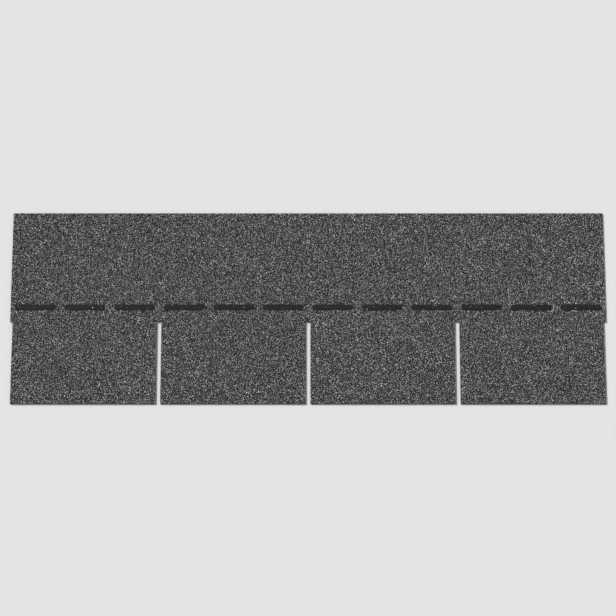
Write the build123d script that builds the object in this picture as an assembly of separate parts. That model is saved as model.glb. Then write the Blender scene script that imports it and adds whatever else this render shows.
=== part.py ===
from build123d import *
import os

# Asphalt strip shingle for a pitched roof, in millimetres, lying face up.
#
# The strip is one bitumen-coated sheet. Slots cut up from its lower edge part the exposed
# half into rectangular tabs, and a half slot at each end makes a whole one where two strips
# meet. A dashed line of sealing bitumen crosses the face above the slots. A release film
# lies flush in the back behind it, so that strips in a stack don't stick together.
#
# Frame: the origin is the middle of the underside. +X runs along the strip, +Y from the
# tabs' lower edge to the head edge, and +Z up out of the granule face.

# The sheet. Each strip shows one exposure, and the courses above it lap the rest twice.
strip_length = 1000.0
tab_count = 4
exposure = 143.0
top_lap = 50.0
sheet_thickness = 3.0

# The slots. Each is as long as the exposure, so it ends where the next course begins.
slot_width = 8.0
slot_corner_radius = 1.5

# The dashed line of sealing bitumen, which grips the tabs of the next course.
seal_setback = 25.0
dashes_per_tab = 3
dash_gap = 13.0
dash_width = 12.0
dash_height = 1.0
dash_crown_radius = 0.6

# The release film, which reaches past the dashes of the strip that it lies on in a stack.
film_overhang = 9.0
film_thickness = 0.1

# A rounding takes at most this share of the width or height that it rounds.
largest_corner = 0.45
largest_crown = 0.8

# What follows from them.
strip_depth = 2 * exposure + top_lap
tab_pitch = strip_length / tab_count
lower_edge = -strip_depth / 2
seal_line = lower_edge + exposure + seal_setback
dash_count = tab_count * dashes_per_tab
dash_pitch = strip_length / dash_count
dash_length = dash_pitch - dash_gap
film_width = dash_width + 2 * film_overhang


def slots():
    """The slots between the tabs, and one across each end of the strip for its half slot."""
    with BuildSketch() as cuts:
        with Locations((0, lower_edge + exposure / 2)):
            with GridLocations(tab_pitch, 0, tab_count + 1, 1):
                Rectangle(slot_width, exposure)
        closed_ends = cuts.vertices().group_by(Axis.Y)[-1]
        fillet(closed_ends, min(slot_corner_radius, largest_corner * slot_width))
    return cuts.sketch


def film_outline():
    """The film's outline, which its seat in the back shares."""
    with BuildSketch() as outline:
        with Locations((0, seal_line)):
            Rectangle(strip_length, film_width)
    return outline.sketch


def shingle_sheet():
    """The coated sheet: the die-cut outline, with a flush seat for the film in its back."""
    with BuildPart() as sheet:
        with BuildSketch():
            Rectangle(strip_length, strip_depth)
            add(slots(), mode=Mode.SUBTRACT)
        extrude(amount=sheet_thickness)
        with BuildSketch():
            add(film_outline())
        extrude(amount=film_thickness, mode=Mode.SUBTRACT)
    return sheet.part


def seal_dashes():
    """The dashes, in one row on the face, round at their ends and along their crowns."""
    with BuildPart() as dashes:
        with BuildSketch(Plane.XY.offset(sheet_thickness)):
            with Locations((0, seal_line)):
                with GridLocations(dash_pitch, 0, dash_count, 1):
                    SlotOverall(dash_length, dash_width)
        extrude(amount=dash_height)
        crowns = dashes.edges().group_by(Axis.Z)[-1]
        fillet(crowns, min(dash_crown_radius, largest_crown * dash_height))
    return dashes.part


def release_film():
    """The film, which fills its seat."""
    with BuildPart() as film:
        with BuildSketch():
            add(film_outline())
        extrude(amount=film_thickness)
    return film.part


os.makedirs("parts", exist_ok=True)
for make_piece in (shingle_sheet, seal_dashes, release_film):
    export_step(make_piece(), f"parts/{make_piece.__name__}.step")
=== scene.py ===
"""Dresses an asphalt strip shingle in granules, cut edges, seal beads and its release film.

The strip lies face up with the middle of its underside at the origin. +X runs along it, +Y
from the tabs' lower edge to the head edge, and +Z up out of the granule face. All lengths
are in metres.
"""
import math

import bmesh
import bpy
import numpy as np
from bpy.props import FloatProperty, FloatVectorProperty, IntProperty, PointerProperty
from mathutils import Euler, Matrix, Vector, noise


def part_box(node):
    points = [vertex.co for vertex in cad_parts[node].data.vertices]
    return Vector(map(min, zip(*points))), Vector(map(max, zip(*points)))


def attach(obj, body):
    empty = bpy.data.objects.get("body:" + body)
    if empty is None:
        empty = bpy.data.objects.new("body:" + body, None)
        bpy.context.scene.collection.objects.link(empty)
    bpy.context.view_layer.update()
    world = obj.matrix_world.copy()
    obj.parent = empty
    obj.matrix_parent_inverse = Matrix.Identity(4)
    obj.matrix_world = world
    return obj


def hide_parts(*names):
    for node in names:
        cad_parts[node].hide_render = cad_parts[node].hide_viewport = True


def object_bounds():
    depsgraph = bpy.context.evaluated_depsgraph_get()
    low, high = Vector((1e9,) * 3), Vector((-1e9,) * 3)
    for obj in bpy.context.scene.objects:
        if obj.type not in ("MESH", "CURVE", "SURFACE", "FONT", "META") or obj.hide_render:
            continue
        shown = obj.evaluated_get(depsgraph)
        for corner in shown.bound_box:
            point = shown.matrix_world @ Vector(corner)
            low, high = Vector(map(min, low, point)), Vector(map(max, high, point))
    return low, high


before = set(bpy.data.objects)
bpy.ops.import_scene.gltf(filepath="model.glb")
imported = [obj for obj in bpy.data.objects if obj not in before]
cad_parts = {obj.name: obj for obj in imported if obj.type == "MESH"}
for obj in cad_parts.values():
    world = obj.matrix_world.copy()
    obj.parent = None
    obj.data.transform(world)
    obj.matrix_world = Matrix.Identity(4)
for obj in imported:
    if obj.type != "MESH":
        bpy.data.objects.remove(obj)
cad_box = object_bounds()

bl_info = {
    "name": "Strip Shingle Finish",
    "version": (1, 0, 0),
    "blender": (4, 5, 0),
    "location": "View3D > Sidebar > Shingle",
    "description": "Granules, cut edges, seal beads and release film for a strip shingle",
    "category": "Add Mesh",
}

# Names in the frame
BODY = "root"
SHEET = "shingle_sheet"
DASHES = "seal_dashes"
FILM = "release_film"

# Names of the tone that each granule carries, and of the map that it is baked on
TONE = "granule_tone"
BAKE_MAP = "OFBake"

# Decimals of a metre to which corners of the sheet that lie together count as one
CORNER_DIGITS = 5

# Bands of granules along the strip, each a mesh of its own
GRANULE_BANDS = 6

# How far apart the rows of a hexagonal grid lie, as a share of the spacing in a row
ROW_STEP = math.sqrt(3) / 2

# Where the corners of a granule may fall. Swings are shares of the step round to the next
# corner, reaches of the half width, heights of the crown and depths of the root.
CHIP_TOP_SWING = (-0.13, 0.13)
CHIP_TOP_REACH = (0.62, 0.9)
CHIP_HEIGHT = (0.6, 1.3)
CHIP_ROOT_SWING = (-0.1, 0.1)
CHIP_ROOT_REACH = (0.85, 1.15)
GRIT_TOP_SWING = (-0.1, 0.1)
RIDGE_REACH = (0.6, 0.95)
POINT_REACH = (0.0, 0.4)
GRIT_HEIGHT = (0.6, 1.1)
GRIT_ROOT_SWING = (-0.12, 0.12)
GRIT_ROOT_REACH = (0.95, 1.25)
ROOT_DEPTH = (0.2, 1.2)

# Share of the grit that has a ridge on top, where the rest has a point
RIDGE_SHARE = 0.6

# The smallest and the largest granule, against a middling one
SIZE_LIMITS = (0.55, 1.6)

# A granule's own cell of the bake map: its margin, and the part of its width in which the
# faces that face up lie
CELL_MARGIN = 0.08
CELL_TOP_SHARE = 0.8

# Where the colours of the granules lie along their tones, from black to bright
TONE_STOPS = (0.0, 0.45, 0.61, 0.93, 1.0)

# Shares of the sheet's thickness: the height above which it is face, the height below which
# it is back, the heights between which the glass mat wanders, and half the width of its line
FACE_FROM = 0.98
BACK_TO = 0.05
MAT_HEIGHTS = (0.36, 0.56)
MAT_HALF_WIDTH = 0.07

DASHES_PER_TAB = 3

# The mesh of a bead: the length of its steps, its rows, the distance within which points
# merge, how deep it sinks in, and the upward part of a normal below which its face is flat
BEAD_STEP = 0.0012
BEAD_ROWS = 8
BEAD_MERGE = BEAD_STEP / 50
BEAD_ROOT = 0.0001
BEAD_FLAT_BELOW = -0.5

# Weights of x, y and z in the order of a bead's faces, of which no two then tie
FACE_ORDER = (1.0, 1e3, 1e6)

# The form of a bead, as shares of its dash: the height of the rim, that of the dome over
# it, and the width. Rolls wave its height and sways its width, each by a number of waves to
# the metre and a size.
BEAD_RIM = 0.18
BEAD_DOME = 0.72
BEAD_WIDTH = 0.9
BEAD_ROLLS = ((95, 0.22), (380, 0.14))
BEAD_SWAYS = ((130, 0.17), (420, 0.1))

# The stage: half the floor's side, the camera's sensor in mm, and how far the camera sees
FLOOR_HALF = 30
SENSOR_WIDTH = 36.0
CAMERA_REACH = 100.0


class ShingleGranules(bpy.types.PropertyGroup):
    """The crushed stone on the face: chips with eight faces, and smaller grit with four."""

    spacing: FloatProperty(
        name="Spacing",
        description="Mean distance between the middles of neighbouring granules",
        default=0.0015,
        min=0.001,
        unit="LENGTH",
    )
    chip_width: FloatProperty(
        name="Chip width",
        description="Width of a middling chip, the larger kind of granule",
        default=0.0019,
        unit="LENGTH",
    )
    grit_width: FloatProperty(
        name="Grit width",
        description="Width of a middling piece of grit, the smaller kind of granule",
        default=0.00145,
        unit="LENGTH",
    )
    chip_share: FloatProperty(
        name="Chip share",
        description="Share of the granules that are chips",
        default=0.38,
        subtype="FACTOR",
    )
    crown: FloatProperty(
        name="Crown",
        description="How far a middling granule stands out of the bitumen",
        default=0.00042,
        unit="LENGTH",
    )
    root: FloatProperty(
        name="Root",
        description="How deep a middling granule is pressed into the bitumen",
        default=0.0002,
        unit="LENGTH",
    )
    size_spread: FloatProperty(
        name="Size spread",
        description="How far the granules' sizes part from the middling one",
        default=0.22,
        subtype="FACTOR",
    )
    lean: FloatProperty(
        name="Lean",
        description="How far granules lean, as one standard deviation",
        default=math.radians(12),
        subtype="ANGLE",
    )
    tallest: FloatProperty(
        name="Tallest",
        description="How far the tallest granules stand out of the face",
        default=0.00068,
        unit="LENGTH",
    )
    straying: FloatProperty(
        name="Straying",
        description="How far granules stray from an even grid, as a share of the spacing",
        default=0.36,
        subtype="FACTOR",
    )
    edge_inset: FloatProperty(
        name="Edge inset",
        description="How far the middles of granules stay inside a cut edge",
        default=0.0004,
        unit="LENGTH",
    )
    edge_overhang: FloatProperty(
        name="Edge overhang",
        description="How far out of a cut edge its granules are sheared off",
        default=0.00012,
        unit="LENGTH",
    )
    stuck: FloatProperty(
        name="Stuck",
        description="Share of the granules over a seal bead that stick to its crown",
        default=0.035,
        subtype="FACTOR",
    )
    mixing: FloatProperty(
        name="Mixing",
        description="How far each granule's tone is held apart from those around it",
        default=0.6,
        subtype="FACTOR",
    )
    shapes: IntProperty(
        name="Shapes",
        description="How many different shapes there are of each kind of granule",
        default=24,
    )
    seed: IntProperty(name="Seed", description="Seed of all that is random", default=11)
    black: FloatVectorProperty(
        name="Black",
        description="Colour of the darkest granules",
        default=(0.008, 0.008, 0.008),
        subtype="COLOR",
    )
    charcoal: FloatVectorProperty(
        name="Charcoal",
        description="Colour of the charcoal granules",
        default=(0.042, 0.042, 0.0423),
        subtype="COLOR",
    )
    grey: FloatVectorProperty(
        name="Grey",
        description="Colour of the grey granules",
        default=(0.26, 0.26, 0.26),
        subtype="COLOR",
    )
    pale: FloatVectorProperty(
        name="Pale",
        description="Colour of the pale granules",
        default=(0.64, 0.64, 0.64),
        subtype="COLOR",
    )
    bright: FloatVectorProperty(
        name="Bright",
        description="Colour of the few brightest granules",
        default=(0.94, 0.94, 0.93),
        subtype="COLOR",
    )


class ShingleFinishes(bpy.types.PropertyGroup):
    """The colours of the sheet, the seal and the film."""

    bitumen: FloatVectorProperty(
        name="Bitumen",
        description="Colour of the bitumen between the granules and on the cut edges",
        default=(0.014, 0.0138, 0.0135),
        subtype="COLOR",
    )
    stone_dust: FloatVectorProperty(
        name="Stone dust",
        description="Colour of the fines between the granules and of the filler",
        default=(0.07, 0.07, 0.07),
        subtype="COLOR",
    )
    back_sand: FloatVectorProperty(
        name="Back sand",
        description="Colour of the sand that is pressed into the back",
        default=(0.17, 0.167, 0.16),
        subtype="COLOR",
    )
    glass_mat: FloatVectorProperty(
        name="Glass mat",
        description="Colour of the cut ends of the glass mat, in the middle of the cut edges",
        default=(0.22, 0.22, 0.21),
        subtype="COLOR",
    )
    seal: FloatVectorProperty(
        name="Seal",
        description="Colour of the sealing bitumen",
        default=(0.009, 0.009, 0.0092),
        subtype="COLOR",
    )
    film: FloatVectorProperty(
        name="Film",
        description="Colour of the release film over the bitumen",
        default=(0.3, 0.31, 0.33),
        subtype="COLOR",
    )
    film_backing: FloatVectorProperty(
        name="Film backing",
        description="Colour of the release film where the bitumen shows through it",
        default=(0.16, 0.165, 0.175),
        subtype="COLOR",
    )


class ShingleStage(bpy.types.PropertyGroup):
    """The floor, the light and the camera."""

    floor: FloatVectorProperty(
        name="Floor",
        description="Colour of the floor",
        default=(0.78, 0.78, 0.78),
        subtype="COLOR",
    )
    sky: FloatProperty(
        name="Sky",
        description="Share of the light on the floor that comes from all round",
        default=0.38,
        subtype="FACTOR",
    )
    key_height: FloatProperty(
        name="Key height",
        description="Height of the key light over the horizon",
        default=math.radians(42),
        subtype="ANGLE",
    )
    key_side: FloatProperty(
        name="Key side",
        description="Way round from the head edge to the key light, towards the left end",
        default=math.radians(52),
        subtype="ANGLE",
    )
    key_spread: FloatProperty(
        name="Key spread",
        description="Angle that the key light fills, which softens its shadows",
        default=math.radians(9),
        subtype="ANGLE",
    )
    view_tilt: FloatProperty(
        name="View tilt",
        description="Angle between the view and straight down, towards the tabs' lower edge",
        default=math.radians(17.8),
        subtype="ANGLE",
    )
    lens: FloatProperty(
        name="Lens", description="Focal length on a 36 mm sensor, in mm", default=167.0
    )
    frame_share: FloatProperty(
        name="Frame share",
        description="Share of the picture's width that the strip takes",
        default=0.965,
        subtype="FACTOR",
    )


class Signal:
    """A shader socket that takes part in expressions, which add Math nodes."""

    def __init__(self, finish, socket):
        self.finish = finish
        self.socket = socket

    def __add__(self, other):
        return self.finish.calculate("ADD", self, other)

    def __sub__(self, other):
        return self.finish.calculate("SUBTRACT", self, other)

    def __rsub__(self, other):
        return self.finish.calculate("SUBTRACT", other, self)

    def __mul__(self, other):
        return self.finish.calculate("MULTIPLY", self, other)

    def __truediv__(self, other):
        return self.finish.calculate("DIVIDE", self, other)

    def __rtruediv__(self, other):
        return self.finish.calculate("DIVIDE", other, self)

    def __gt__(self, other):
        return self.finish.calculate("GREATER_THAN", self, other)

    def __lt__(self, other):
        return self.finish.calculate("LESS_THAN", self, other)

    def __abs__(self):
        return self.finish.calculate("ABSOLUTE", self)

    __radd__ = __add__
    __rmul__ = __mul__

    def between(self, low, high):
        """The signal with 0 moved to low and 1 moved to high."""
        return self * (high - low) + low


class Finish:
    """A material: one Principled shader with constants, and the nodes that feed it."""

    def __init__(self, name, **constants):
        self.material = bpy.data.materials.new(name)
        self.material.use_nodes = True
        self.tree = self.material.node_tree
        self.shader = self.tree.nodes["Principled BSDF"]
        for socket, value in constants.items():
            self.feed(self.shader.inputs[socket.replace("_", " ")], value)

    def feed(self, socket, value):
        """Sets a socket's value, or links it to a signal."""
        if isinstance(value, Signal):
            self.tree.links.new(value.socket, socket)
        elif hasattr(value, "__len__") and len(socket.default_value) > len(value):
            socket.default_value = (*value, 1.0)
        else:
            socket.default_value = value

    def node(self, kind, settings=None, inputs=None, output=0):
        """Adds a node with its settings and inputs, and returns one of its outputs."""
        made = self.tree.nodes.new("ShaderNode" + kind)
        for name, value in (settings or {}).items():
            if name == "stops":
                self.set_stops(made.color_ramp, value)
            else:
                setattr(made, name, value)
        for name, value in (inputs or {}).items():
            self.feed(made.inputs[name], value)
        return Signal(self, made.outputs[output])

    def calculate(self, operation, *values, clamp=False):
        """Adds a Math node that works on these values."""
        settings = {"operation": operation, "use_clamp": clamp}
        return self.node("Math", settings, dict(enumerate(values)))

    @staticmethod
    def set_stops(ramp, stops):
        """Gives a colour ramp its stops, each a place and a colour."""
        while len(ramp.elements) < len(stops):
            ramp.elements.new(1.0)
        for element, (place, colour) in zip(ramp.elements, stops):
            element.position = place
            element.color = (*colour, 1.0)

    def place(self):
        """The point on the object, in its own coordinates."""
        return self.node("TexCoord", output="Object")

    def squeezed_place(self, x, y):
        """That point squeezed along x and y, which draws patterns out."""
        return self.node("Mapping", inputs={"Vector": self.place(), "Scale": (x, y, 1.0)})

    def height_place(self):
        """The height of the point on the object."""
        return self.node("SeparateXYZ", inputs={"Vector": self.place()}, output="Z")

    def cloud(self, size, detail=2.0, roughness=0.5, vector=None):
        """Smooth noise from 0 to 1 whose features have about this size."""
        inputs = {
            "Vector": vector or self.place(),
            "Scale": 1.0 / size,
            "Detail": detail,
            "Roughness": roughness,
        }
        return self.node("TexNoise", inputs=inputs)

    def cells(self, size):
        """Cells of about this size, each in a random colour."""
        inputs = {"Vector": self.place(), "Scale": 1.0 / size}
        return self.node("TexVoronoi", inputs=inputs, output="Color")

    def ramp(self, factor, stops):
        """A colour that follows a signal through stops."""
        return self.node("ValToRGB", {"stops": stops}, {"Fac": factor})

    def blend(self, share, first, second, way="MIX"):
        """The first colour, with this share of the second mixed in."""
        inputs = {0: share, 6: first, 7: second}
        settings = {"data_type": "RGBA", "blend_type": way}
        return self.node("Mix", settings, inputs, output=2)

    def grey(self, signal):
        """A grey as bright as a signal."""
        inputs = {"Red": signal, "Green": signal, "Blue": signal}
        return self.node("CombineColor", inputs=inputs)

    def relief(self, height, distance, strength):
        """A normal from a height signal, where 1 is this distance out of the surface."""
        inputs = {"Height": height, "Distance": distance, "Strength": strength}
        return self.node("Bump", inputs=inputs, output="Normal")

    def colour(self, value):
        self.feed(self.shader.inputs["Base Color"], value)

    def rough(self, value):
        self.feed(self.shader.inputs["Roughness"], value)

    def normal(self, value):
        self.feed(self.shader.inputs["Normal"], value)


def sheet_corners():
    """The corners of the sheet, as rows of x, y and z."""
    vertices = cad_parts[SHEET].data.vertices
    points = {tuple(round(value, CORNER_DIGITS) for value in v.co) for v in vertices}
    return np.array(sorted(points))


def tab_spans():
    """Each tab's left and right edge, from the corners on the sheet's lower edge."""
    corners = sheet_corners()
    lower = corners[corners[:, 1] == corners[:, 1].min()]
    edges = np.unique(lower[:, 0])
    return list(zip(edges[0::2], edges[1::2]))


def slot_top():
    """How far up the slots reach, from the corners on the sheet's left end."""
    corners = sheet_corners()
    top = corners[:, 2].max()
    left_end = corners[(corners[:, 0] == corners[:, 0].min()) & (corners[:, 2] == top)]
    return left_end[:, 1].min()


def corner_at(around, reach, height):
    """The corner of a granule this way round, this far out and this high."""
    return (reach * math.cos(around), reach * math.sin(around), height)


def chip_shape(rng, settings):
    """One chip of about the middling size: a many-sided piece of crushed stone.

    A three-cornered top stands over a three-cornered root turned half way round from it.
    """
    half_width = settings.chip_width / 2
    turn = rng.uniform(0, math.tau)
    corners = []
    for corner in range(3):
        around = turn + math.tau * (corner + rng.uniform(*CHIP_TOP_SWING)) / 3
        reach = half_width * rng.uniform(*CHIP_TOP_REACH)
        height = settings.crown * rng.uniform(*CHIP_HEIGHT)
        corners.append(corner_at(around, reach, height))
        around += math.tau * (0.5 + rng.uniform(*CHIP_ROOT_SWING)) / 3
        reach = half_width * rng.uniform(*CHIP_ROOT_REACH)
        depth = settings.root * rng.uniform(*ROOT_DEPTH)
        corners.append(corner_at(around, reach, -depth))
    return closed_shape(corners)


def grit_shape(rng, settings):
    """One piece of grit: a ridge across two corners of the root, or a point over three."""
    half_width = settings.grit_width / 2
    turn = rng.uniform(0, math.tau)
    is_ridge = rng.uniform() < RIDGE_SHARE
    root_count, top_count, top_reach = (2, 2, RIDGE_REACH) if is_ridge else (3, 1, POINT_REACH)
    corners = []
    for corner in range(root_count):
        around = turn + math.tau * (corner + rng.uniform(*GRIT_ROOT_SWING)) / root_count
        reach = half_width * rng.uniform(*GRIT_ROOT_REACH)
        depth = settings.root * rng.uniform(*ROOT_DEPTH)
        corners.append(corner_at(around, reach, -depth))
    for corner in range(top_count):
        around = turn + math.tau * (corner + 0.5 + rng.uniform(*GRIT_TOP_SWING)) / 2
        reach = half_width * rng.uniform(*top_reach)
        height = settings.crown * rng.uniform(*GRIT_HEIGHT)
        corners.append(corner_at(around, reach, height))
    return closed_shape(corners)


def closed_shape(corners):
    """The closed hull of these corners: its points, its faces and their bake map."""
    hull = bmesh.new()
    for corner in corners:
        hull.verts.new(corner)
    bmesh.ops.convex_hull(hull, input=hull.verts)
    bmesh.ops.triangulate(hull, faces=hull.faces)
    bmesh.ops.recalc_face_normals(hull, faces=hull.faces)
    hull.verts.index_update()
    points = np.array([v.co for v in hull.verts])
    faces = np.array([[v.index for v in f.verts] for f in hull.faces])
    faces_down = np.array([f.normal.z < 0 for f in hull.faces])
    hull.free()
    return points, faces, cell_map(points, faces, faces_down)


def cell_map(points, faces, faces_down):
    """Each face corner's place in the granule's own cell of the bake map, from 0 to 1.

    What faces up lies in the cell's left part, seen from above, and the rest in its right.
    """
    low = points[:, :2].min(0)
    size = points[:, :2].max(0) - low
    flat = CELL_MARGIN + (1 - 2 * CELL_MARGIN) * (points[:, :2] - low) / size
    corners = flat[faces]
    across = corners[..., 0]
    beside = CELL_TOP_SHARE + (1 - CELL_TOP_SHARE) * across
    corners[..., 0] = np.where(faces_down[:, None], beside, CELL_TOP_SHARE * across)
    return corners


def bead_spans():
    """Each seal bead's left and right end: the dashes' box, parted by their even pitch."""
    low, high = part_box(DASHES)
    count = DASHES_PER_TAB * len(tab_spans())
    sheet_low, sheet_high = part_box(SHEET)
    pitch = (sheet_high.x - sheet_low.x) / count
    length = (high.x - low.x) - pitch * (count - 1)
    return [(low.x + pitch * i, low.x + pitch * i + length) for i in range(count)]


def under_beads(places, margin):
    """Which places lie under a seal bead, further than a margin from its edge."""
    low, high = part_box(DASHES)
    radius = (high.y - low.y) / 2
    middle = (high.y + low.y) / 2
    covered = np.zeros(len(places), bool)
    for left, right in bead_spans():
        nearest = np.clip(places[:, 0], left + radius, right - radius)
        away = np.hypot(places[:, 0] - nearest, places[:, 1] - middle)
        covered |= away < radius - margin
    return covered


def granule_areas(settings):
    """Areas that hold granules: the boxes of their middles, and the boxes of their points.

    Granules on a tab are sheared off at its edges, and those by a slot's closed end at that
    end. The rest of the head lap, between them, has only its outer edges.
    """
    low, high = (np.array(corner)[:2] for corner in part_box(SHEET))
    inset, over, clear = settings.edge_inset, settings.edge_overhang, settings.chip_width
    foot, top, head = low[1], slot_top(), high[1]
    whole = (low[0] - over, foot - over, high[0] + over, head + over)
    tabs, above_tabs = [], []
    for left, right in tab_spans():
        middles = (left + inset, foot + inset, right - inset, top + inset)
        tabs.append((middles, (left - over, foot - over, right + over, head + over)))
        above_tabs.append(((left + clear, top, right - clear, head - inset), whole))
    by_slots = (low[0] + inset, top + inset, high[0] - inset, head - inset)
    lap = (by_slots, (low[0] - over, top - over, high[0] + over, head + over))
    areas = np.array([*tabs, *above_tabs, lap]).reshape(-1, 2, 2, 2)
    return areas[:, 0], areas[:, 1]


def mixed_tones(rng, rows, columns, mixing):
    """A tone from 0 to 1 for each place of a hexagonal grid, unlike those around it.

    The face then clouds less than by chance, and the tones still fill 0 to 1 evenly.
    """
    tones = rng.uniform(0, 1, (rows, columns))
    is_odd = np.arange(rows)[:, None] % 2 == 1
    around = np.roll(tones, 1, axis=1) + np.roll(tones, -1, axis=1)
    for up in (1, -1):
        beside = np.roll(tones, up, axis=0)
        around += beside
        around += np.where(is_odd, np.roll(beside, -1, axis=1), np.roll(beside, 1, axis=1))
    neighbours_mean = around / 6
    ranks = (tones - mixing * neighbours_mean).ravel().argsort().argsort()
    return ranks / len(ranks)


def scattered(rng, settings):
    """Places for granules, the box that the points of each stay in, and their tones.

    They lie on one hexagonal grid over the whole sheet, from which they stray. Those just
    past a cut edge are brought in to it, and those further out are dropped. So are those
    under a seal bead, but for a few that stick to its crown.
    """
    middles, points = granule_areas(settings)
    low, high = middles[:, 0].min(0), middles[:, 1].max(0)
    rows = round((high[1] - low[1]) / (settings.spacing * ROW_STEP))
    columns = round((high[0] - low[0]) / settings.spacing)
    step = (high - low) / (columns - 0.5, rows - 1)
    column, row = np.meshgrid(np.arange(columns), np.arange(rows))
    grid = np.stack([column + 0.5 * (row % 2), row], -1).reshape(-1, 2)
    grid = grid + rng.uniform(-settings.straying, settings.straying, grid.shape)
    places = low + grid * step
    nearest = np.clip(places[:, None], middles[:, 0], middles[:, 1])
    moved = np.linalg.norm(nearest - places[:, None], axis=2)
    area = moved.argmin(1)
    places = nearest[np.arange(len(places)), area]
    covered = under_beads(places, settings.chip_width)
    stuck = rng.uniform(0, 1, len(places)) < settings.stuck
    face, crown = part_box(SHEET)[1].z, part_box(DASHES)[1].z
    heights = np.where(covered, crown - settings.root, face)
    kept = (moved.min(1) < settings.spacing / 2) & (stuck | ~covered)
    tones = mixed_tones(rng, rows, columns, settings.mixing)
    return np.column_stack([places, heights])[kept], points[area[kept]], tones[kept]


def turns(rng, count, lean):
    """As many rotation matrices: any way round, leaning a little any way."""
    around = rng.uniform(0, math.tau, count)
    tilt_x, tilt_y = rng.normal(0, lean, (2, count))
    cosines, sines = np.cos(around), np.sin(around)
    spin = np.zeros((count, 3, 3))
    spin[:, 0, 0], spin[:, 0, 1] = cosines, -sines
    spin[:, 1, 0], spin[:, 1, 1] = sines, cosines
    spin[:, 2, 2] = 1
    lean_by = np.tile(np.eye(3), (count, 1, 1))
    lean_by[:, 2, 0], lean_by[:, 2, 1] = tilt_x, tilt_y
    return lean_by @ spin


def granule_piece(name, places, reach, tones, shapes, settings, rng):
    """A mesh of granules at these places, each sheared off where it leaves its reach."""
    count = len(places)
    across = math.ceil(math.sqrt(count))
    cell = np.stack([np.arange(count) % across, np.arange(count) // across], 1)
    sizes = np.clip(rng.normal(1, settings.size_spread, count), *SIZE_LIMITS)
    rotations = turns(rng, count, settings.lean)
    are_grit = rng.uniform(0, 1, count) > settings.chip_share
    kinds = rng.integers(0, settings.shapes, count) + settings.shapes * are_grit
    points, faces, maps, face_tones, used = [], [], [], [], 0
    for kind, (shape_points, shape_faces, shape_map) in enumerate(shapes):
        chosen = np.flatnonzero(kinds == kind)
        turned = shape_points @ rotations[chosen].transpose(0, 2, 1)
        turned *= sizes[chosen, None, None]
        turned[..., 2] = np.minimum(turned[..., 2], settings.tallest)
        turned += places[chosen, None]
        low, high = reach[chosen, 0, None], reach[chosen, 1, None]
        turned[..., :2] = np.clip(turned[..., :2], low, high)
        each = len(shape_points)
        starts = used + each * np.arange(len(chosen))
        points.append(turned.reshape(-1, 3))
        faces.append((shape_faces + starts[:, None, None]).reshape(-1, 3))
        maps.append(((shape_map + cell[chosen, None, None]) / across).reshape(-1, 2))
        face_tones.append(np.repeat(tones[chosen], len(shape_faces)))
        used += each * len(chosen)
    mesh = bpy.data.meshes.new(name)
    fill_mesh(mesh, np.concatenate(points), np.concatenate(faces))
    tone = mesh.attributes.new(TONE, "FLOAT", "FACE")
    tone.data.foreach_set("value", np.concatenate(face_tones).astype(np.float32))
    bake_map = mesh.uv_layers.new(name=BAKE_MAP)
    bake_map.data.foreach_set("uv", np.concatenate(maps).astype(np.float32).ravel())
    return new_piece(name, mesh)


def fill_mesh(mesh, points, triangles):
    """Gives an empty mesh its points and triangles."""
    mesh.vertices.add(len(points))
    mesh.vertices.foreach_set("co", points.astype(np.float32).ravel())
    mesh.loops.add(triangles.size)
    mesh.loops.foreach_set("vertex_index", triangles.astype(np.int32).ravel())
    mesh.polygons.add(len(triangles))
    mesh.polygons.foreach_set("loop_start", np.arange(0, triangles.size, 3, np.int32))
    mesh.update(calc_edges=True)
    mesh.validate()


def waver(place, waves):
    """Noise at a place, summed over waves: each one's number to the metre and its size."""
    return sum(size * noise.noise(place * number) for number, size in waves)


def nearest_on_spine(x, size):
    """The place nearest to x on a bead's spine, which ends half its width from each end."""
    half_spine = (size.x - size.y) / 2
    return max(-half_spine, min(half_spine, x))


def stadium(size):
    """A flat grid drawn in to a stadium, with straight sides and half-round ends."""
    grid = bmesh.new()
    radius = size.y / 2
    steps = round(size.x / BEAD_STEP)
    bmesh.ops.create_grid(grid, x_segments=steps, y_segments=BEAD_ROWS, size=1)
    for vertex in grid.verts:
        vertex.co.x *= size.x / 2
        past = abs(vertex.co.x - nearest_on_spine(vertex.co.x, size)) / radius
        reach = radius * math.sqrt(max(0.0, 1 - past * past))
        vertex.co.y = reach * math.sin(vertex.co.y * math.pi / 2)
    bmesh.ops.remove_doubles(grid, verts=grid.verts, dist=BEAD_MERGE)
    return grid


def seal_bead(beads, middle, size):
    """Adds one bead: a stadium raised off its base, domed, and with a wavy edge."""
    bead = stadium(size)
    base = list(bead.faces)
    raised = bmesh.ops.extrude_face_region(bead, geom=base)["geom"]
    crown = [item for item in raised if isinstance(item, bmesh.types.BMVert)]
    for vertex in crown:
        past_spine = vertex.co.x - nearest_on_spine(vertex.co.x, size)
        out = min(1.0, math.hypot(past_spine, vertex.co.y) / (size.y / 2))
        dome = BEAD_RIM + BEAD_DOME * math.sqrt(1 - out**4)
        roll = waver(vertex.co + middle, BEAD_ROLLS)
        vertex.co.z = size.z * dome * (1 + roll)
    for vertex in bead.verts:
        here = vertex.co + middle
        width = BEAD_WIDTH + waver(Vector((here.x, here.y, 0)), BEAD_SWAYS)
        spine = nearest_on_spine(vertex.co.x, size)
        vertex.co.x = spine + (vertex.co.x - spine) * width
        vertex.co.y *= width
        vertex.co += middle
    for vertex in {corner for face in base for corner in face.verts}:
        vertex.co.z -= BEAD_ROOT
    bmesh.ops.recalc_face_normals(bead, faces=bead.faces)
    # The extrusion leaves its sides in another order each run
    bead.faces.sort(key=lambda face: face.calc_center_median().dot(FACE_ORDER))
    for face in bead.faces:
        face.smooth = face.normal.z > BEAD_FLAT_BELOW
    laid = bpy.data.meshes.new("bead")
    bead.to_mesh(laid)
    bead.free()
    beads.from_mesh(laid)
    bpy.data.meshes.remove(laid)


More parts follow.
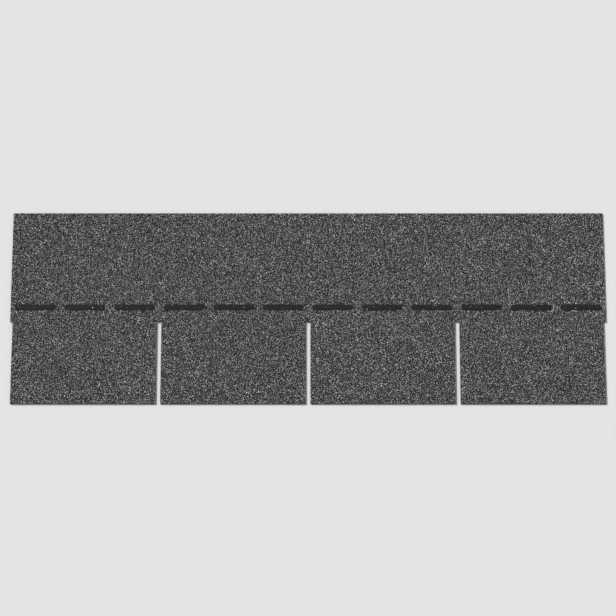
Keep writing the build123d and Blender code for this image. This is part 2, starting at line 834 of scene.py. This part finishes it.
def new_piece(name, mesh):
    """A new object of the shingle, which rides on its one body."""
    piece = bpy.data.objects.new(name, mesh)
    bpy.context.scene.collection.objects.link(piece)
    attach(piece, BODY)
    return piece


def give(piece, finish):
    """Gives a piece one material."""
    piece.data.materials.clear()
    piece.data.materials.append(finish.material)


def granule_finish(settings):
    """Ceramic-coated crushed stone in a blend of black, charcoal, grey and a little pale."""
    finish = Finish("coated_granules", Specular_IOR_Level=0.07)
    tone = finish.node("Attribute", {"attribute_name": TONE}, output="Fac")
    colours = (settings.black, settings.charcoal, settings.grey, settings.pale, settings.bright)
    blotches = finish.cloud(size=0.05, detail=3.0).between(0.85, 1.15)
    grain = finish.cloud(size=0.0004).between(0.75, 1.25)
    colour = finish.ramp(tone, tuple(zip(TONE_STOPS, colours)))
    finish.colour(finish.blend(1.0, colour, finish.grey(blotches * grain), "MULTIPLY"))
    finish.rough(finish.cloud(size=0.0006).between(0.68, 0.93))
    pits = finish.cloud(size=0.0003, detail=3.0)
    finish.normal(finish.relief(pits, distance=0.00005, strength=0.6))
    return finish


def sheet_finish(settings, thickness):
    """Bitumen with fines between the granules, a filled cut edge and a sanded back."""
    finish = Finish("coated_sheet", Specular_IOR_Level=0.2)
    height = finish.height_place() / thickness
    is_face = height > FACE_FROM
    is_back = height < BACK_TO
    chips = finish.cells(size=0.0007)
    chip = finish.node("SeparateColor", inputs={"Color": chips}, output="Red")
    fines = finish.blend(chip * chip, settings.bitumen, settings.stone_dust)
    grit = finish.cloud(size=0.0007, detail=4.0, roughness=0.7)
    mat_height = finish.cloud(size=0.015, detail=3.0).between(*MAT_HEIGHTS)
    off_mat = abs(height - mat_height) / MAT_HALF_WIDTH
    fibres = finish.cloud(size=0.0009, detail=5.0, roughness=0.7)
    mat_line = finish.calculate("SUBTRACT", 1.0, off_mat, clamp=True) * fibres
    filler = finish.ramp(grit, ((0.42, settings.bitumen), (0.75, settings.stone_dust)))
    edge = finish.blend(mat_line, filler, settings.glass_mat)
    along = finish.squeezed_place(0.1, 1.0)
    streaks = finish.cloud(size=0.022, detail=4.0, roughness=0.6, vector=along)
    patches = finish.cloud(size=0.007, detail=4.0, roughness=0.65)
    sand = streaks * 0.35 + patches * 0.3 + grit * 0.35
    back = finish.ramp(sand, ((0.38, settings.bitumen), (0.58, settings.back_sand)))
    finish.colour(finish.blend(is_back, finish.blend(is_face, edge, fines), back))
    finish.rough(patches.between(0.95, 0.65))
    finish.normal(finish.relief(grit + chip * is_face, distance=0.0003, strength=0.8))
    return finish


def seal_finish(settings):
    """Sealing bitumen that set in soft ripples, with a little dust on it."""
    finish = Finish("sealing_bitumen", Specular_IOR_Level=0.1)
    dust = finish.cloud(size=0.002, detail=4.0, roughness=0.65)
    ripples = finish.cloud(size=0.0045, detail=1.5, roughness=0.4)
    finish.colour(finish.blend(dust * dust * 0.5, settings.seal, settings.stone_dust))
    finish.rough(dust.between(0.3, 0.8))
    finish.normal(finish.relief(ripples + dust * 0.08, distance=0.0012, strength=0.6))
    return finish


def film_finish(settings):
    """Thin release film that wrinkles across its length, with the bitumen dark beneath it."""
    finish = Finish("release_film")
    along = finish.squeezed_place(1.0, 0.3)
    wrinkles = finish.cloud(size=0.009, detail=4.0, roughness=0.55, vector=along)
    creases = 1.0 - abs(wrinkles - 0.5) * 2.0
    clouding = finish.cloud(size=0.03, detail=5.0, roughness=0.6)
    finish.colour(finish.blend(clouding, settings.film, settings.film_backing))
    finish.rough(clouding.between(0.1, 0.35))
    finish.normal(finish.relief(creases * creases, distance=0.0009, strength=0.6))
    return finish


class SHINGLE_OT_coat_sheet(bpy.types.Operator):
    """Give the sheet its bitumen face, cut edges and sanded back"""

    bl_idname = "shingle.coat_sheet"
    bl_label = "Coat Sheet"

    def execute(self, context):
        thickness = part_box(SHEET)[1].z
        give(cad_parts[SHEET], sheet_finish(context.scene.shingle_finishes, thickness))
        return {"FINISHED"}


class SHINGLE_OT_spread_granules(bpy.types.Operator):
    """Spread granules over the face, in bands along the strip, the first at the lower edge"""

    bl_idname = "shingle.spread_granules"
    bl_label = "Spread Granules"

    def execute(self, context):
        settings = context.scene.shingle_granules
        rng = np.random.default_rng(settings.seed)
        shapes = [chip_shape(rng, settings) for _ in range(settings.shapes)]
        shapes += [grit_shape(rng, settings) for _ in range(settings.shapes)]
        finish = granule_finish(settings)
        places, reach, tones = scattered(rng, settings)
        low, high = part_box(SHEET)
        band = (places[:, 1] - low.y) / (high.y - low.y) * GRANULE_BANDS
        for number in range(GRANULE_BANDS):
            own = np.floor(band) == number
            name = f"granule_band_{number + 1}"
            held = (places[own], reach[own], tones[own])
            piece = granule_piece(name, *held, shapes, settings, rng)
            give(piece, finish)
        return {"FINISHED"}


class SHINGLE_OT_finish_film(bpy.types.Operator):
    """Give the release film its gloss and wrinkles"""

    bl_idname = "shingle.finish_film"
    bl_label = "Finish Film"

    def execute(self, context):
        give(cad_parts[FILM], film_finish(context.scene.shingle_finishes))
        return {"FINISHED"}


class SHINGLE_OT_lay_seal(bpy.types.Operator):
    """Lay the beads of sealing bitumen in place of the plain dashes"""

    bl_idname = "shingle.lay_seal"
    bl_label = "Lay Seal"

    def execute(self, context):
        low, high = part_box(DASHES)
        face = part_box(SHEET)[1].z
        beads = bmesh.new()
        for left, right in bead_spans():
            middle = Vector(((left + right) / 2, (low.y + high.y) / 2, face))
            size = Vector((right - left, high.y - low.y, high.z - face))
            seal_bead(beads, middle, size)
        mesh = bpy.data.meshes.new("seal_beads")
        beads.to_mesh(mesh)
        beads.free()
        piece = new_piece("seal_beads", mesh)
        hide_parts(DASHES)
        give(piece, seal_finish(context.scene.shingle_finishes))
        return {"FINISHED"}


class SHINGLE_OT_set_stage(bpy.types.Operator):
    """Set the floor, the light and the camera"""

    bl_idname = "shingle.set_stage"
    bl_label = "Set Stage"

    def execute(self, context):
        settings = context.scene.shingle_stage
        context.scene.view_settings.view_transform = "Standard"
        self.lay_floor(settings)
        self.hang_light(settings)
        self.aim_camera(context.scene, settings)
        self.light_sky(context.scene, settings)
        return {"FINISHED"}

    def lay_floor(self, settings):
        """A pale, matt floor, wide enough to fill the view from anywhere."""
        mesh = bpy.data.meshes.new("floor")
        plane = bmesh.new()
        bmesh.ops.create_grid(plane, x_segments=1, y_segments=1, size=FLOOR_HALF)
        plane.to_mesh(mesh)
        plane.free()
        floor = bpy.data.objects.new("floor", mesh)
        bpy.context.scene.collection.objects.link(floor)
        matt = {"Roughness": 1.0, "Specular_IOR_Level": 0.0}
        give(floor, Finish("floor", Base_Color=settings.floor, **matt))

    def hang_light(self, settings):
        """A sun that gives the floor the share of its light that the sky doesn't."""
        light = bpy.data.lights.new("key", "SUN")
        light.angle = settings.key_spread
        light.energy = math.pi * (1 - settings.sky) / math.sin(settings.key_height)
        lamp = bpy.data.objects.new("key", light)
        out = math.cos(settings.key_height)
        from_left = -out * math.sin(settings.key_side)
        from_head = out * math.cos(settings.key_side)
        towards = Vector((from_left, from_head, math.sin(settings.key_height)))
        lamp.rotation_euler = towards.to_track_quat("Z", "Y").to_euler()
        bpy.context.scene.collection.objects.link(lamp)

    def aim_camera(self, scene, settings):
        """A camera so far off that the strip takes its share of the picture's width."""
        lens = bpy.data.cameras.new("camera")
        lens.sensor_width = SENSOR_WIDTH
        lens.lens = settings.lens
        lens.clip_end = CAMERA_REACH
        camera = bpy.data.objects.new("camera", lens)
        low, high = cad_box
        length = high.x - low.x
        distance = length * lens.lens / (lens.sensor_width * settings.frame_share)
        tilt = settings.view_tilt
        camera.location = distance * Vector((0, -math.sin(tilt), math.cos(tilt)))
        camera.rotation_euler = Euler((tilt, 0, 0))
        scene.collection.objects.link(camera)
        scene.camera = camera

    def light_sky(self, scene, settings):
        """A white sky at its share of the light, which shows as pale as the floor."""
        world = bpy.data.worlds.new("studio")
        world.use_nodes = True
        scene.world = world
        tree = world.node_tree
        background = tree.nodes["Background"]
        background.inputs["Color"].default_value = (1, 1, 1, 1)
        rays = tree.nodes.new("ShaderNodeLightPath")
        seen = rays.outputs["Is Camera Ray"]
        for kind in ("Is Glossy Ray", "Is Transmission Ray"):
            either = tree.nodes.new("ShaderNodeMath")
            either.operation = "MAXIMUM"
            tree.links.new(seen, either.inputs[0])
            tree.links.new(rays.outputs[kind], either.inputs[1])
            seen = either.outputs[0]
        strength = tree.nodes.new("ShaderNodeMapRange")
        strength.inputs["To Min"].default_value = settings.sky
        strength.inputs["To Max"].default_value = settings.floor[0]
        tree.links.new(seen, strength.inputs["Value"])
        tree.links.new(strength.outputs[0], background.inputs["Strength"])


class VIEW3D_PT_strip_shingle(bpy.types.Panel):
    """The steps of the finish, in order"""

    bl_label = "Strip Shingle"
    bl_space_type = "VIEW_3D"
    bl_region_type = "UI"
    bl_category = "Shingle"

    def draw(self, context):
        for step in OPERATORS:
            self.layout.operator(step.bl_idname)
        for group in SETTINGS:
            settings = getattr(context.scene, group)
            for name in settings.bl_rna.properties.keys():
                if name not in ("rna_type", "name"):
                    self.layout.prop(settings, name)


SETTINGS = {
    "shingle_granules": ShingleGranules,
    "shingle_finishes": ShingleFinishes,
    "shingle_stage": ShingleStage,
}
OPERATORS = (
    SHINGLE_OT_set_stage,
    SHINGLE_OT_coat_sheet,
    SHINGLE_OT_spread_granules,
    SHINGLE_OT_lay_seal,
    SHINGLE_OT_finish_film,
)


def register():
    for item in (*SETTINGS.values(), *OPERATORS, VIEW3D_PT_strip_shingle):
        bpy.utils.register_class(item)
    for name, group in SETTINGS.items():
        setattr(bpy.types.Scene, name, PointerProperty(type=group))


def unregister():
    for name in SETTINGS:
        delattr(bpy.types.Scene, name)
    for item in (VIEW3D_PT_strip_shingle, *OPERATORS, *SETTINGS.values()):
        bpy.utils.unregister_class(item)


def main():
    register()
    bpy.ops.shingle.set_stage()
    bpy.ops.shingle.coat_sheet()
    bpy.ops.shingle.spread_granules()
    bpy.ops.shingle.lay_seal()
    bpy.ops.shingle.finish_film()


if __name__ == "__main__":
    main()
